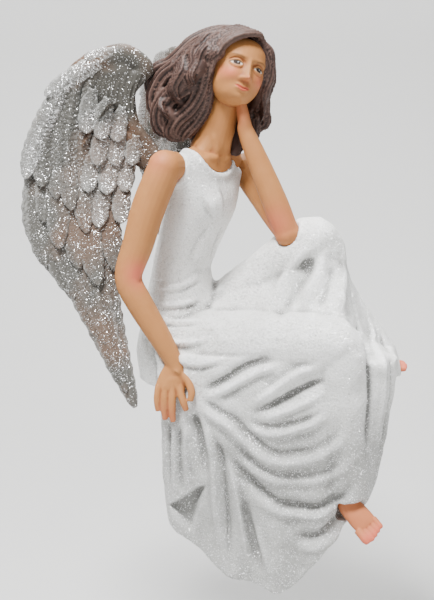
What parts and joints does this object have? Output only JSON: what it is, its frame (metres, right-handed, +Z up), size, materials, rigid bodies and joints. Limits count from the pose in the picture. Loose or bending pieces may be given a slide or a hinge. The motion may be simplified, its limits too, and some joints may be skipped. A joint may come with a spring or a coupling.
{
  "type": "shelf-sitting angel figurine",
  "caption": "Angel figurine in a white glittered dress that sits on a shelf edge, skirt hanging in front, one knee raised, head on hand, two feathered wings.",
  "frame": {"origin": "centre of the felt seat pad's underside, which lies on the shelf", "axes": "+Z up, +X along the shelf's edge toward the raised knee's side, +Y into the shelf; the skirt hangs on the -Y side"},
  "size_m": [0.1418, 0.0986, 0.1984],
  "materials": {
    "dress_paint": "painted polyresin, matt white with fine clear glitter",
    "skin_paint": "painted polyresin, satin skin colour with a rosy blush",
    "hair_paint": "painted polyresin, dry-brushed brown",
    "wing_paint": "painted polyresin, silver grey with coarse silver glitter and a brown wash",
    "steel": "plain steel rod",
    "felt": "pressed felt"
  },
  "bodies": {
    "root": {"dress_casting": "dress_paint", "head_casting": "skin_paint", "hair_casting": "hair_paint", "right_arm": "skin_paint", "left_arm": "skin_paint", "right_foot": "skin_paint", "left_foot": "skin_paint", "right_wing": "wing_paint", "left_wing": "wing_paint", "right_wing_peg": "steel", "left_wing_peg": "steel", "neck_dowel": "steel", "right_arm_dowel": "steel", "left_arm_dowel": "steel", "right_foot_dowel": "steel", "left_foot_dowel": "steel", "seat_pad": "felt"}
  },
  "joints": []
}
